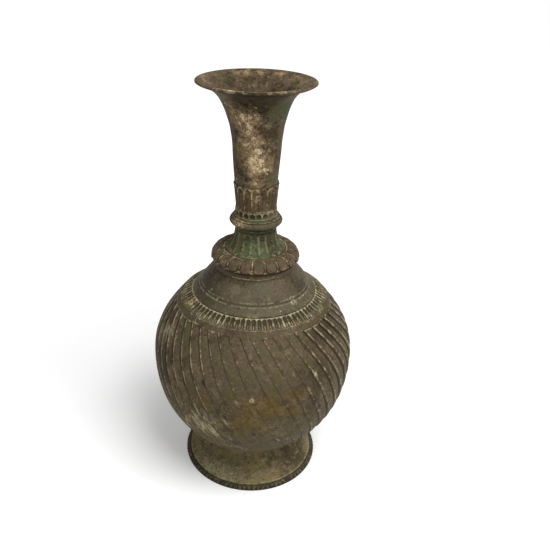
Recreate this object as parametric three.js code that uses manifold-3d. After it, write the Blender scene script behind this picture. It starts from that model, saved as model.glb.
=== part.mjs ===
import * as THREE from 'three';
import { mergeVertices } from 'three/addons/utils/BufferGeometryUtils.js';
import Module from 'manifold-3d';

// A long-necked bronze bottle with a spirally fluted body, built up from cast and soldered
// sections. Millimetres, +Z up: the foot stands on z = 0 and the axis is x = y = 0.
// The front, which pattern phases are counted from, faces -Y.

// Foot
const footRimRadius = 51.5;
const footRimTopRadius = 49.0;
const footRimHeight = 2.6;
const footRimBore = 43.5;
const footRimNotches = 90;
const footNotchDepth = 1.0;
const skirtRadius = 48.1;
const skirtHeight = 12.4;
const skirtWall = 2.4;
const stemRadius = 24.5;
const stemSeatWidth = 4.5;

// Body
const bellyRadius = 72.4;
const bellyHeight = 81.5;
const bodyUpperHeight = 45.5;
const bodyTopRadius = 51.8;
const bodyWall = 3.2;
const bodySeatWidth = 5.6;
const fluteCount = 46;
const fluteDepth = 1.7;
const fluteLean = 26;
const plainBorder = 3.6;

// Tongue band
const bandHeight = 4.9;
const bandTopRadius = 43.6;
const bandSeatWidth = 2.8;
const bandThickness = 1.7;
const tongueCount = 82;
const tongueDepth = 0.9;

// Shoulder
const shoulderHeight = 23.8;
const shoulderTopRadius = 27.6;
const shoulderWall = 2.4;
const shoulderSeatWidth = 4.2;

// Collar
const collarRingHeight = 1.8;
const collarRingRadius = 28.8;
const cushionHeight = 10.9;
const cushionTubeRadius = 6.85;
const cushionRadius = 30.65;
const petalCount = 21;
const petalDepth = 1.2;
const coneHeight = 16.1;
const coneBaseRadius = 20.5;
const coneTopRadius = 14.0;
const coneRidges = 18;
const coneRidgeDepth = 0.7;
const collarWall = 2.6;

// Neck
const knopHeight = 8.4;
const knopRadius = 17.9;
const knopTopRadius = 15.2;
const knopBeadHeight = 1.9;
const lobeBandHeight = 5.5;
const lobeBandRadius = 14.5;
const lobeCount = 20;
const lobeDepth = 0.9;
const sleeveHeight = 16.0;
const sleeveFootRadius = 13.8;
const sleeveTopRadius = 15.15;
const sleevePetals = 17;
const sleeveArch = 4.6;
const sleevePetalDepth = 0.45;
const neckHeight = 66.5;
const neckTailRadius = 11.9;
const neckRadius = 14.2;
const neckWall = 2.1;
const mouthRadius = 37.7;
const mouthFlare = 28;
const lipThickness = 2.0;

// Fits and facets
const fitClearance = 0.3;
const cutMargin = 2;
const roundSides = 40;
const slimSides = 32;
const weldDistance = 1e-3;
const frontAngle = -Math.PI / 2;

// Where one repeat of each pattern starts, in degrees to the right of the front
const flutePhase = -4.0;
const tonguePhase = -1.8;
const petalPhase = -3.6;
const conePhase = -11.5;
const lobePhase = -19.2;
const sleevePhase = -12.2;

// Heights of the joint faces, from the foot up
const skirtBase = footRimHeight;
const bodyBase = skirtBase + skirtHeight;
const bellyLevel = bodyBase + bellyHeight;
const bodyTop = bellyLevel + bodyUpperHeight;
const shoulderTop = bodyTop + shoulderHeight;
const cushionBase = shoulderTop + collarRingHeight;
const coneBase = cushionBase + cushionHeight;
const knopBase = coneBase + coneHeight;
const knopTop = knopBase + knopHeight;
const sleeveBase = knopTop + lobeBandHeight;
const sleeveTop = sleeveBase + sleeveHeight;
const mouthTop = sleeveTop + neckHeight;

// Radii of the passage through the collar and neck
const bodyMouthRadius = bodyTopRadius - bodySeatWidth;
const shoulderBore = shoulderTopRadius - shoulderSeatWidth;
const coneBore = coneBaseRadius - collarWall - coneRidgeDepth;
const neckBore = neckTailRadius - neckWall;
const tailClearance = neckTailRadius + fitClearance;

const wasm = await Module();
wasm.setup();

function point(radius, height) {
  return new THREE.Vector2(radius, height);
}

function toSolid(geometry) {
  const bare = geometry.clone();
  bare.deleteAttribute('normal');
  bare.deleteAttribute('uv');
  const merged = mergeVertices(bare, weldDistance);
  const mesh = new wasm.Mesh({
    numProp: 3,
    vertProperties: new Float32Array(merged.attributes.position.array),
    triVerts: new Uint32Array(merged.index.array),
  });
  return new wasm.Manifold(mesh);
}

function toGeometry(solid) {
  const mesh = solid.getMesh();
  const geometry = new THREE.BufferGeometry();
  geometry.setAttribute('position', new THREE.BufferAttribute(mesh.vertProperties, 3));
  geometry.setIndex(new THREE.BufferAttribute(mesh.triVerts, 1));
  geometry.computeVertexNormals();
  return geometry;
}

// A plain turned form: the profile runs anticlockwise in the (radius, height) plane,
// up the outside, and either ends on the axis or closes on itself.
function turned(profile, sides) {
  const geometry = new THREE.LatheGeometry(profile, sides);
  geometry.rotateX(Math.PI / 2);
  return geometry;
}

function turnedRing(profile, sides) {
  return turned([...profile, profile[0].clone()], sides);
}

// A patterned turned form: `section(station, across)` gives the point of each station, and
// `across` runs from 0 to 1 over one repeat. Its columns stand at the given places across a
// repeat, or else at even steps. Its ends are closed by fans to the axis.
function patterned({ stations, repeats, steps, places, section, phase = 0, turn = () => 0 }) {
  const spots = places ?? Array.from({ length: steps }, (_, step) => step / steps);
  const columns = repeats * spots.length;
  const positions = [];
  const middle = spots[Math.floor(spots.length / 2)];
  const heights = [section(0, spots[0]).y, section(stations - 1, middle).y];
  for (let station = 0; station < stations; station += 1) {
    for (let column = 0; column < columns; column += 1) {
      const across = spots[column % spots.length];
      const spot = section(station, across);
      const repeat = Math.floor(column / spots.length) + across;
      const angle = frontAngle + phase + turn(station) + (2 * Math.PI * repeat) / repeats;
      positions.push(spot.x * Math.cos(angle), spot.x * Math.sin(angle), spot.y);
    }
  }
  const bottom = positions.length / 3;
  positions.push(0, 0, heights[0], 0, 0, heights[1]);
  const faces = [];
  for (let column = 0; column < columns; column += 1) {
    const next = (column + 1) % columns;
    for (let station = 0; station < stations - 1; station += 1) {
      const low = station * columns;
      const high = low + columns;
      faces.push(low + column, low + next, high + next);
      faces.push(low + column, high + next, high + column);
    }
    const top = (stations - 1) * columns;
    faces.push(bottom, next, column);
    faces.push(bottom + 1, top + column, top + next);
  }
  const geometry = new THREE.BufferGeometry();
  geometry.setAttribute('position', new THREE.Float32BufferAttribute(positions, 3));
  geometry.setIndex(faces);
  return geometry;
}

function bored(outer, boreProfile, sides) {
  return toGeometry(toSolid(outer).subtract(toSolid(turned(boreProfile, sides))));
}

// A straight bore through everything between two heights
function straightBore(radius, low, high) {
  return [point(0, low), point(radius, low), point(radius, high), point(0, high)];
}

// Moves each point of an upward profile along its outward normal; the ends move level.
function offsetProfile(profile, distance) {
  return profile.map((spot, index) => {
    const last = profile.length - 1;
    if (index === 0 || index === last) {
      return point(spot.x + distance, spot.y);
    }
    const along = profile[index + 1].clone().sub(profile[index - 1]).normalize();
    return point(spot.x + along.y * distance, spot.y - along.x * distance);
  });
}

function arcPoint(centre, radius, angle) {
  return point(centre.x + radius * Math.cos(angle), centre.y + radius * Math.sin(angle));
}

function degrees(value) {
  return THREE.MathUtils.degToRad(value);
}

// Arch over one repeat: 0 at its edges, 1 in its middle
function arch(across) {
  return Math.sin(Math.PI * across);
}

function footRim() {
  const outline = [
    point(footRimRadius - 0.1, 0),
    point(footRimRadius, footRimHeight * 0.4),
    point(footRimTopRadius, footRimHeight),
  ];
  const depths = [1, 1, 0];
  const ring = patterned({
    stations: outline.length,
    repeats: footRimNotches,
    steps: 2,
    section: (station, across) => {
      const cut = across > 0 ? footNotchDepth * depths[station] : 0;
      return point(outline[station].x - cut, outline[station].y);
    },
  });
  const bore = straightBore(footRimBore, -cutMargin, footRimHeight + cutMargin);
  return bored(ring, bore, roundSides);
}

function skirtOutline() {
  const sweep = new THREE.CubicBezierCurve(
    point(skirtRadius, skirtBase + 0.9),
    point(skirtRadius - skirtHeight * 0.95, skirtBase + skirtHeight * 0.3),
    point(stemRadius + skirtHeight * 0.3, bodyBase - skirtHeight * 0.5),
    point(stemRadius, bodyBase),
  );
  return sweep.getPoints(5);
}

function footSkirt() {
  const outside = skirtOutline();
  const inside = offsetProfile(outside, -skirtWall).slice(1, -1).reverse()
    .filter((spot) => spot.y > skirtBase + fitClearance);
  return turnedRing([
    point(skirtRadius - skirtWall, skirtBase),
    point(skirtRadius, skirtBase),
    ...outside,
    point(stemRadius - stemSeatWidth, bodyBase),
    ...inside,
  ], roundSides);
}

// The body's plain outline, from its seat on the stem to the plain border under the band
function bodyOutline() {
  const lower = new THREE.CubicBezierCurve(
    point(stemRadius, bodyBase),
    point(stemRadius + bellyRadius * 0.304, bodyBase + bellyHeight * 0.233),
    point(bellyRadius, bodyBase + bellyHeight * 0.43),
    point(bellyRadius, bellyLevel),
  );
  const upper = new THREE.CubicBezierCurve(
    point(bellyRadius, bellyLevel),
    point(bellyRadius, bellyLevel + bodyUpperHeight * 0.425),
    point(bodyTopRadius + bellyRadius * 0.18, bodyTop - bodyUpperHeight * 0.32),
    point(bodyTopRadius, bodyTop),
  );
  return { lower, upper };
}

// Stations of the fluted wall: the plain border's two edges close the upper end.
function bodyStations() {
  const { lower, upper } = bodyOutline();
  const rise = lower.getSpacedPoints(6);
  const fall = upper.getSpacedPoints(5).slice(1, -1);
  const border = point(
    bodyTopRadius + plainBorder * 0.85,
    bodyTop - plainBorder,
  );
  const close = fall.filter((spot) => spot.y < border.y - plainBorder);
  const archFoot = close[close.length - 1].clone().lerp(border, 0.72);
  return [...rise, ...close, archFoot, border, point(bodyTopRadius, bodyTop)];
}

function flutedBody() {
  const outline = bodyStations();
  const last = outline.length - 1;
  const cuts = outline.map((spot, index) => {
    if (index === 0 || index >= last - 1) return 0;
    const slimming = Math.min(1, spot.x / (bellyRadius * 0.8));
    return fluteDepth * slimming;
  });
  // The flutes lean by a constant angle, so the turn adds up as path length over radius.
  const turns = outline.map(() => 0);
  for (let index = last - 1; index >= 0; index -= 1) {
    const step = outline[index].distanceTo(outline[index + 1]);
    const radius = (outline[index].x + outline[index + 1].x) / 2;
    turns[index] = turns[index + 1] + (Math.tan(degrees(fluteLean)) * step) / radius;
  }
  // Each flute rises steeply out of its groove and falls slowly to the next one.
  const relief = new Map([[0, 1], [0.15, 0], [0.68, 0.3]]);
  const cores = cuts.map((cut) => offsetProfile(outline, -cut));
  const wall = patterned({
    stations: outline.length,
    repeats: fluteCount,
    places: [...relief.keys()],
    phase: degrees(flutePhase),
    turn: (station) => turns[station],
    section: (station, across) => (
      outline[station].clone().lerp(cores[station][station], relief.get(across))
    ),
  });
  return bored(wall, bodyCavity(outline), roundSides);
}

function bodyCavity(outline) {
  const floor = bodyBase + bodyWall;
  const inner = offsetProfile(outline, -bodyWall);
  const side = inner.filter((spot, index) => {
    const mid = index % 2 === 1 && index < inner.length - 2;
    return mid && spot.y > floor + bodyWall;
  });
  const floorRadius = Math.max(stemRadius - stemSeatWidth, bodyWall);
  return [
    point(0, floor),
    point(floorRadius, floor),
    ...side,
    point(bodyMouthRadius, bodyTop),
    point(bodyMouthRadius, bodyTop + cutMargin),
    point(0, bodyTop + cutMargin),
  ];
}

function tongueBand() {
  const foot = bodyTopRadius - 0.4;
  const width = foot - bandTopRadius;
  const outline = [
    point(foot, bodyTop),
    point(foot - width * 0.13, bodyTop + bandHeight * 0.3),
    point(foot - width * 0.24, bodyTop + bandHeight * 0.37),
    point(foot - width * 0.76, bodyTop + bandHeight * 0.79),
    point(foot - width * 0.87, bodyTop + bandHeight * 0.88),
    point(bandTopRadius, bodyTop + bandHeight),
  ];
  const ring = patterned({
    stations: outline.length,
    repeats: tongueCount,
    steps: 2,
    phase: degrees(tonguePhase),
    section: (station, across) => {
      const cut = across > 0 && (station === 2 || station === 3) ? tongueDepth : 0;
      return point(outline[station].x - cut * 0.35, outline[station].y - cut);
    },
  });
  const seatRadius = foot - bandSeatWidth;
  const under = [
    point(0, bodyTop - cutMargin),
    point(seatRadius, bodyTop - cutMargin),
    point(seatRadius, bodyTop + 0.2),
    point(bandTopRadius - fitClearance, bodyTop + bandHeight - bandThickness),
    point(bandTopRadius - fitClearance, bodyTop + bandHeight + cutMargin),
    point(0, bodyTop + bandHeight + cutMargin),
  ];
  return bored(ring, under, roundSides);
}

function shoulder() {
  const bandBore = bandTopRadius - fitClearance;
  const seatRadius = bodyTopRadius - 0.4 - bandSeatWidth;
  const step = point(bandBore - fitClearance, bodyTop + bandHeight);
  const dome = new THREE.SplineCurve([
    step,
    point(bandBore - 4.4, bodyTop + shoulderHeight * 0.41),
    point(shoulderTopRadius + 8.0, bodyTop + shoulderHeight * 0.63),
    point(shoulderTopRadius + 2.4, shoulderTop - 2.2),
    point(shoulderTopRadius, shoulderTop),
  ]).getPoints(6);
  const inside = offsetProfile(dome, -shoulderWall).slice(1, -1).reverse();
  return turnedRing([
    point(bodyMouthRadius, bodyTop),
    point(seatRadius - fitClearance, bodyTop),
    point(step.x, bodyTop + bandHeight - bandThickness - fitClearance - 0.2),
    ...dome,
    point(shoulderBore, shoulderTop),
    ...inside,
  ], roundSides);
}

function collarRing() {
  return turnedRing([
    point(shoulderBore, shoulderTop),
    point(collarRingRadius - 0.7, shoulderTop),
    point(collarRingRadius, shoulderTop + collarRingHeight * 0.4),
    point(collarRingRadius, shoulderTop + collarRingHeight * 0.7),
    point(collarRingRadius - 0.5, cushionBase),
    point(shoulderBore, cushionBase),
  ], roundSides);
}

// Petals hang over the cushion: each tip is a lobe that stands proud of the roll under it.
function petalCushion() {
  const centre = point(
    cushionRadius - cushionTubeRadius,
    cushionBase + cushionHeight * 0.45,
  );
  const down = Math.asin((cushionBase - centre.y) / cushionTubeRadius);
  const up = Math.PI - Math.asin((coneBase - centre.y) / cushionTubeRadius);
  const core = cushionTubeRadius - petalDepth;
  const section = (station, across) => {
    const tip = degrees(-12) + degrees(34) * (1 - arch(across));
    const groove = petalDepth * (1 - arch(across));
    const rows = [
      [down, cushionTubeRadius - petalDepth * 0.4],
      [degrees(-26), core],
      [tip - degrees(7), core],
      [tip, cushionTubeRadius],
      [degrees(48), cushionTubeRadius - groove * 0.8],
      [degrees(84), cushionTubeRadius * 0.92 - groove * 0.5],
      [degrees(112), cushionTubeRadius * 0.92 - groove * 0.3],
      [up, cushionTubeRadius],
    ];
    return arcPoint(centre, rows[station][1], rows[station][0]);
  };
  const roll = patterned({
    stations: 8,
    repeats: petalCount,
    steps: 4,
    phase: degrees(petalPhase),
    section: (station, across) => {
      const spot = section(station, across);
      if (station === 0) return point(spot.x, cushionBase);
      return station === 7 ? point(coneBaseRadius, coneBase) : spot;
    },
  });
  const bore = [
    point(0, cushionBase - cutMargin),
    point(shoulderBore, cushionBase - cutMargin),
    point(shoulderBore, cushionBase + collarWall),
    point(coneBore, coneBase),
    point(coneBore, coneBase + cutMargin * 3),
    point(0, coneBase + cutMargin * 3),
  ];
  return bored(roll, bore, roundSides);
}

function flutedCone() {
  const spread = coneBaseRadius - coneTopRadius;
  const outline = [
    point(coneBaseRadius - 0.2, coneBase),
    point(coneTopRadius + spread * 0.5, coneBase + coneHeight * 0.24),
    point(coneTopRadius + spread * 0.22, coneBase + coneHeight * 0.48),
    point(coneTopRadius + spread * 0.05, coneBase + coneHeight * 0.76),
    point(coneTopRadius, knopBase),
  ];
  const depths = [0.4, 1, 1, 0.8, 0];
  const ridges = patterned({
    stations: outline.length,
    repeats: coneRidges,
    steps: 3,
    phase: degrees(conePhase),
    section: (station, across) => {
      const cut = across > 0 ? coneRidgeDepth * depths[station] : 0;
      return point(outline[station].x - cut, outline[station].y);
    },
  });
  const bore = [
    point(0, coneBase - cutMargin),
    point(coneBore, coneBase - cutMargin),
    point(coneBore, coneBase),
    point(coneTopRadius - collarWall - coneRidgeDepth, coneBase + coneHeight * 0.55),
    point(neckBore, knopBase),
    point(neckBore, knopBase + cutMargin),
    point(0, knopBase + cutMargin),
  ];
  return bored(ridges, bore, slimSides);
}

function neckKnop() {
  const beadTop = knopBase + knopBeadHeight;
  const roll = knopHeight - knopBeadHeight;
  return turnedRing([
    point(neckBore, knopBase),
    point(coneTopRadius + 0.3, knopBase),
    point(coneTopRadius + 0.8, knopBase + knopBeadHeight * 0.45),
    point(coneTopRadius + 0.2, beadTop),
    point(knopRadius - 0.9, beadTop + roll * 0.14),
    point(knopRadius, beadTop + roll * 0.42),
    point(knopRadius - 0.5, beadTop + roll * 0.68),
    point(knopTopRadius + 0.9, beadTop + roll * 0.92),
    point(knopTopRadius, knopTop),
    point(neckBore, knopTop),
  ], slimSides);
}

function lobedBand() {
  const outline = [
    point(lobeBandRadius, knopTop),
    point(lobeBandRadius, knopTop + lobeBandHeight * 0.2),
    point(sleeveFootRadius + 0.2, knopTop + lobeBandHeight * 0.8),
    point(sleeveFootRadius, sleeveBase),
  ];
  const ring = patterned({
    stations: outline.length,
    repeats: lobeCount,
    steps: 3,
    phase: degrees(lobePhase),
    section: (station, across) => {
      const cut = station === 1 || station === 2 ? lobeDepth * arch(across) ** 0.5 : 0;
      return point(outline[station].x - cut, outline[station].y);
    },
  });
  const bore = straightBore(tailClearance, knopTop - cutMargin, sleeveBase + cutMargin);
  return bored(ring, bore, slimSides);
}

// Upright petals with arched tips wrap the foot of the neck, each a shallow channel
// between raised edges.
function petalSleeve() {
  const radiusAt = (height) => THREE.MathUtils.mapLinear(
    height, sleeveBase, sleeveTop, sleeveFootRadius - 0.1, sleeveTopRadius);
  const section = (station, across) => {
    const tip = sleeveTop - sleeveArch * (1 - arch(across));
    const sunk = sleevePetalDepth * arch(across) ** 0.4;
    const rows = [
      [sleeveBase, 0],
      [sleeveBase + 1.4, 0],
      [sleeveBase + 2.2, sunk],
      [tip - 2.2, sunk],
      [tip - 1.1, 0],
      [tip, 0.1],
    ];
    const [height, cut] = rows[station];
    return point(radiusAt(height) - cut, height);
  };
  const petals = patterned({
    stations: 6,
    repeats: sleevePetals,
    steps: 4,
    phase: degrees(sleevePhase),
    section,
  });
  const slope = (neckRadius - neckTailRadius) / sleeveHeight;
  const bore = [
    point(0, sleeveBase - cutMargin),
    point(tailClearance, sleeveBase - cutMargin),
    point(tailClearance, sleeveBase),
    point(neckRadius + fitClearance + slope * cutMargin, sleeveTop + cutMargin),
    point(0, sleeveTop + cutMargin),
  ];
  return bored(petals, bore, slimSides);
}

function neckAndMouth() {
  const flareBase = mouthTop - mouthFlare;
  const lipEdge = mouthTop - lipThickness / 2;
  const trumpet = new THREE.CubicBezierCurve(
    point(neckRadius + 3.1, flareBase),
    point(neckRadius + 5.4, flareBase + mouthFlare * 0.375),
    point(mouthRadius * 0.6, flareBase + mouthFlare * 0.77),
    point(mouthRadius - 0.5, mouthTop - lipThickness),
  ).getPoints(6);
  const outside = [
    point(neckTailRadius, knopTop),
    point(neckTailRadius, sleeveBase),
    point(neckRadius, sleeveTop),
    point(neckRadius + 1.3, THREE.MathUtils.lerp(sleeveTop, flareBase, 0.45)),
    ...trumpet,
  ];
  const inside = offsetProfile(outside, -neckWall)
    .filter((spot, index) => index % 2 === 0 && index > 1)
    .reverse();
  return turnedRing([
    ...outside,
    point(mouthRadius, lipEdge),
    point(mouthRadius - 0.7, mouthTop),
    point(mouthRadius - 2.0, mouthTop),
    ...inside,
    point(neckBore, knopTop + neckWall),
    point(neckBore, knopTop),
  ], slimSides);
}

function part(name, geometry, color, roughness) {
  const material = new THREE.MeshStandardMaterial({ color, roughness, metalness: 0.8 });
  const mesh = new THREE.Mesh(geometry, material);
  mesh.name = name;
  return mesh;
}

const bottle = new THREE.Group();
bottle.name = 'bottle';
bottle.add(
  part('foot_rim', footRim(), 0x5e5340, 0.6),
  part('foot_skirt', footSkirt(), 0x6b5f42, 0.55),
  part('fluted_body', flutedBody(), 0x5c523e, 0.5),
  part('tongue_band', tongueBand(), 0x6a5d45, 0.6),
  part('shoulder', shoulder(), 0x5f5442, 0.5),
  part('collar_ring', collarRing(), 0x665844, 0.55),
  part('petal_cushion', petalCushion(), 0x6d5b46, 0.6),
  part('fluted_cone', flutedCone(), 0x55604a, 0.7),
  part('neck_knop', neckKnop(), 0x6a6148, 0.55),
  part('lobed_band', lobedBand(), 0x5a5a42, 0.65),
  part('petal_sleeve', petalSleeve(), 0x6f5a40, 0.6),
  part('neck_and_mouth', neckAndMouth(), 0x73664e, 0.55),
);

export default bottle;
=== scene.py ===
import bpy
import bmesh
import math
import random
from mathutils import Matrix, Vector


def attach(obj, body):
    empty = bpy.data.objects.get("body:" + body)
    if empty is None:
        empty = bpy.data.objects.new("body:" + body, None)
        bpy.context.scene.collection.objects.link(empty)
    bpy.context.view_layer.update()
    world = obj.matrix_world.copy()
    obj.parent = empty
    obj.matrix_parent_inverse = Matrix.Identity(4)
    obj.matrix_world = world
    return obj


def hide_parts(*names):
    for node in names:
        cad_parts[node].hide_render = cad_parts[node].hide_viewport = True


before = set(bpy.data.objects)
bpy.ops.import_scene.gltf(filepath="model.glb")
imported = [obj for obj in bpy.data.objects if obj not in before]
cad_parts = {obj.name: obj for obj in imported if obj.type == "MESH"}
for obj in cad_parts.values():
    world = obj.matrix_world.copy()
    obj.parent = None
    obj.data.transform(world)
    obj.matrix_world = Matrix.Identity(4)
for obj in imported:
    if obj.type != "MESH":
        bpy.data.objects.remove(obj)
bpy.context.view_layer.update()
mm = 0.001
# heights at which one piece ends and the next begins, in millimetres
rimTop, stemTop, bodyTop, bandTop, domeTop = 2.6, 15, 142.0, 146.9, 165.8
ringTop, cushionTop, coneTop, knopTop, lobesTop = 167.6, 178.5, 194.6, 203.0, 208.5
print("bottle: frame loaded,", len(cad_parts), "nodes")


# Profiles are lists of (radius, height) in millimetres, drawn up the outside.
# Angles are in degrees from the front, counted towards the viewer's right.

def mix(a, b, t):
    return a + (b - a) * t


def smooth(low, high, value):
    t = min(1.0, max(0.0, (value - low) / (high - low)))
    return t * t * (3 - 2 * t)


def between(low, full, over, high, value):
    # rises from low to full and falls again from over to high
    return smooth(low, full, value) * smooth(high, over, value)


def bump(centre, width, value):
    return math.exp(-((value - centre) / width) ** 2)


def curve(a, b, c, d, count):
    # cubic curve from a to d, drawn towards b and c
    spots = []
    for i in range(count + 1):
        t = i / count
        weights = ((1 - t) ** 3, 3 * t * (1 - t) ** 2, 3 * t * t * (1 - t), t ** 3)
        spots.append(tuple(sum(w * p[k] for w, p in zip(weights, (a, b, c, d))) for k in (0, 1)))
    return spots


def flowing(spots, count):
    # smooth line through the given spots, with count steps from each to the next
    line = []
    ends = [spots[0]] + list(spots) + [spots[-1]]
    for i in range(1, len(ends) - 2):
        p0, p1, p2, p3 = ends[i - 1:i + 3]
        for j in range(count):
            t = j / count
            line.append(tuple(
                0.5 * (2 * p1[k] + (p2[k] - p0[k]) * t
                       + (2 * p0[k] - 5 * p1[k] + 4 * p2[k] - p3[k]) * t * t
                       + (3 * p1[k] - p0[k] - 3 * p2[k] + p3[k]) * t ** 3) for k in (0, 1)))
    return line + [tuple(spots[-1])]


def pathLengths(line):
    lengths = [0.0]
    for a, b in zip(line, line[1:]):
        lengths.append(lengths[-1] + math.dist(a, b))
    return lengths


def evened(line, step):
    # the same line with its spots about a step apart, keeping both ends
    lengths = pathLengths(line)
    count = max(1, round(lengths[-1] / step))
    out = []
    index = 0
    for i in range(count + 1):
        target = lengths[-1] * i / count
        while index < len(lengths) - 2 and lengths[index + 1] < target:
            index += 1
        span = lengths[index + 1] - lengths[index]
        t = (target - lengths[index]) / span if span else 0
        out.append(tuple(mix(line[index][k], line[index + 1][k], t) for k in (0, 1)))
    return out


def fromFront(angle):
    # the same angle between -180 and 180
    return (angle + 180) % 360 - 180


def facing(centre, width, angle):
    # 1 at the side that faces the given angle, less and less to both sides of it
    return bump(centre, width, fromFront(angle))


def repeatAt(angle, look):
    # the number of the repeat at an angle, and the place in it: 0 at its left edge, 1 at its right
    turn = angle - look["phase"]
    count = look["repeats"]
    return int(turn % 360 * count / 360) % count, (turn * count / 360) % 1


def handCuts(look):
    # hand work is uneven: the measures in look["uneven"] differ from one repeat to the next
    chance = random.Random(look["seed"])
    return [tuple(chance.uniform(*limits) for limits in look["uneven"].values())
            for _ in range(look["repeats"])]


# The old neck has been pushed a little to the left: height and offset of the axis.
axisOffsets = ((0, 0), (140, 0.1), (170, 0.25), (203, 0.12), (250, -0.45), (275, -1.15), (292, -1.7))


def axisLean(height):
    for (low, a), (high, b) in zip(axisOffsets, axisOffsets[1:]):
        if height <= high:
            return mix(a, b, (height - low) / (high - low))
    return axisOffsets[-1][1]


# Each stain is (angle, height, half angle, half height, strength), and each kind of stain has
# its own channel in a colour attribute of the mesh. The dark kind holds dark patina and, in
# some places, painted shade.
stainKinds = ("crust", "green", "ochre", "dark")
stainEnd = 5  # squared distance from its middle, in half sizes, at which a stain ends


def stainsNear(stains, height):
    return [(channel, *stain) for channel, kind in enumerate(stainKinds)
            for stain in stains.get(kind, ()) if ((height - stain[1]) / stain[3]) ** 2 < stainEnd]


def stainsAt(stains, angle, height):
    sums = [0.0] * len(stainKinds)
    for channel, centre, level, wide, tall, strength in stains:
        away = (fromFront(angle - centre) / wide) ** 2 + ((height - level) / tall) ** 2
        if away < stainEnd:
            sums[channel] += strength * math.exp(-away)
    return sums


# Streaked crust follows the flow attribute: a place on a cylinder that twists with the piece.
flowRadius = 0.06
flowStretch = 0.25


def spunProfile(bm, parts, columns):
    # one sector is spun in steps and then copied round, which is quick for many columns
    sectors = max(k for k in range(1, int(columns ** 0.5) + 1) if columns % k == 0)
    axis = {"cent": (0, 0, 0), "axis": (0, 0, 1), "dvec": (0, 0, 0)}
    bmesh.ops.spin(bm, geom=parts, angle=math.tau / sectors, steps=columns // sectors, **axis)
    bmesh.ops.spin(bm, geom=bm.verts[:] + bm.edges[:] + bm.faces[:], steps=sectors - 1,
                   angle=math.tau * (sectors - 1) / sectors, use_duplicate=True, **axis)
    bmesh.ops.remove_doubles(bm, verts=bm.verts, dist=2e-7)


# Turns a closed outline about the axis, with a number of columns of vertices to each repeat of
# the pattern. Only the outer run is carved: carving(angle, row, column) gives how far a vertex
# moves out, how much dirt and painted shade it holds and how rubbed and painted bright it is.
# angleOf(column, row) gives the angle of a twisted vertex and its angle before the twist. Edges
# sharper than the sharp angle stay hard, and the inside stains begin at the row insideFrom.
def turnedPiece(look, outer, inner, carving, angleOf=None, sharp=40, insideFrom=math.inf):
    columns = look.get("repeats", 1) * look["columns"]
    bm = bmesh.new()
    rowLayer = bm.verts.layers.int.new("row")
    recessLayer = bm.verts.layers.float.new("recess")
    edgeLayer = bm.verts.layers.float.new("edge")
    stainLayer = bm.verts.layers.float_color.new("stains")
    flowLayer = bm.verts.layers.float_vector.new("flow")
    profile = outer + inner
    verts = []
    for row, (radius, height) in enumerate(profile):
        vert = bm.verts.new((0, -radius * mm, height * mm))
        vert[rowLayer] = row
        verts.append(vert)
    edges = [bm.edges.new((a, b)) for a, b in zip(verts, verts[1:] + verts[:1])]
    spunProfile(bm, verts + edges, columns)
    bmesh.ops.recalc_face_normals(bm, faces=bm.faces)
    lengths = pathLengths(profile)
    spots = []
    for vert in bm.verts:
        row = vert[rowLayer]
        angle = math.degrees(math.atan2(vert.co.x, -vert.co.y)) % 360
        column = round(angle / 360 * columns) % columns
        straight = angle
        if angleOf and row < len(outer):
            wanted, straight = angleOf(column, row)
            vert.co = Matrix.Rotation(math.radians(wanted - angle), 3, "Z") @ vert.co
            angle = wanted
        around = math.radians(straight)
        vert[flowLayer] = (flowRadius * math.sin(around), -flowRadius * math.cos(around),
                           flowStretch * lengths[row] * mm)
        spots.append((vert, row, column, angle))
    bm.normal_update()
    outside, inside = look.get("stains", {}), look.get("insideStains", {})
    nearby = [stainsNear(inside if row >= insideFrom else outside, height)
              for row, (_, height) in enumerate(profile)]
    for vert, row, column, angle in spots:
        height = profile[row][1]
        if row < len(outer):
            shift, recess, edge = carving(angle, row, column)
            vert.co += vert.normal * shift * mm
            vert[recessLayer] = recess
            vert[edgeLayer] = edge
        vert[stainLayer] = stainsAt(nearby[row], angle, height)
        vert.co.x += axisLean(height) * mm
    for face in bm.faces:
        face.smooth = True
    for edge in bm.edges:
        edge.smooth = edge.calc_face_angle(0) < math.radians(sharp)
    mesh = bpy.data.meshes.new(look["node"] + "_dressed")
    bm.to_mesh(mesh)
    bm.free()
    fitted(mesh, look)


def fitted(mesh, look):
    piece = bpy.data.objects.new(mesh.name, mesh)
    bpy.context.scene.collection.objects.link(piece)
    piece.data.materials.append(bronzeMaterial(look["bronze"], look["finish"]))
    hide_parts(look["node"])
    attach(piece, "root")
    print("  ", piece.name, len(piece.data.polygons), "faces")


def linear(red, green, blue):
    # a colour given as it looks on screen, 0-255
    values = []
    for part in (red, green, blue):
        part = part / 255
        values.append(part / 12.92 if part <= 0.04045 else ((part + 0.055) / 1.055) ** 2.4)
    return (*values, 1)


# Node helpers. All but node() find their tree from the sockets that they are given.

def plug(socket, value):
    if isinstance(value, bpy.types.NodeSocket):
        socket.id_data.links.new(value, socket)
    else:
        socket.default_value = value


def node(tree, kind, settings=None, **values):
    made = tree.nodes.new(kind)
    for key, value in (settings or {}).items():
        setattr(made, key, value)
    for key, value in values.items():
        plug(made.inputs[key.replace("_", " ")], value)
    return made


def joined(kind, settings, values, result=0):
    # a node with its inputs given by their places
    tree = next(value.id_data for value in values.values() if isinstance(value, bpy.types.NodeSocket))
    made = node(tree, kind, settings)
    for place, value in values.items():
        plug(made.inputs[place], value)
    return made.outputs[result]


def maths(operation, a, b=0.0, clamp=False):
    return joined("ShaderNodeMath", {"operation": operation, "use_clamp": clamp}, {0: a, 1: b})


def times(a, b):
    return maths("MULTIPLY", a, b)


def plus(a, b):
    return maths("ADD", a, b)


def centred(value):
    return maths("SUBTRACT", value, 0.5)


def total(*parts):
    # sum of (value, weight) pairs
    result = None
    for value, weight in parts:
        term = value if weight == 1 else times(value, weight)
        result = term if result is None else plus(result, term)
    return result


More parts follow.
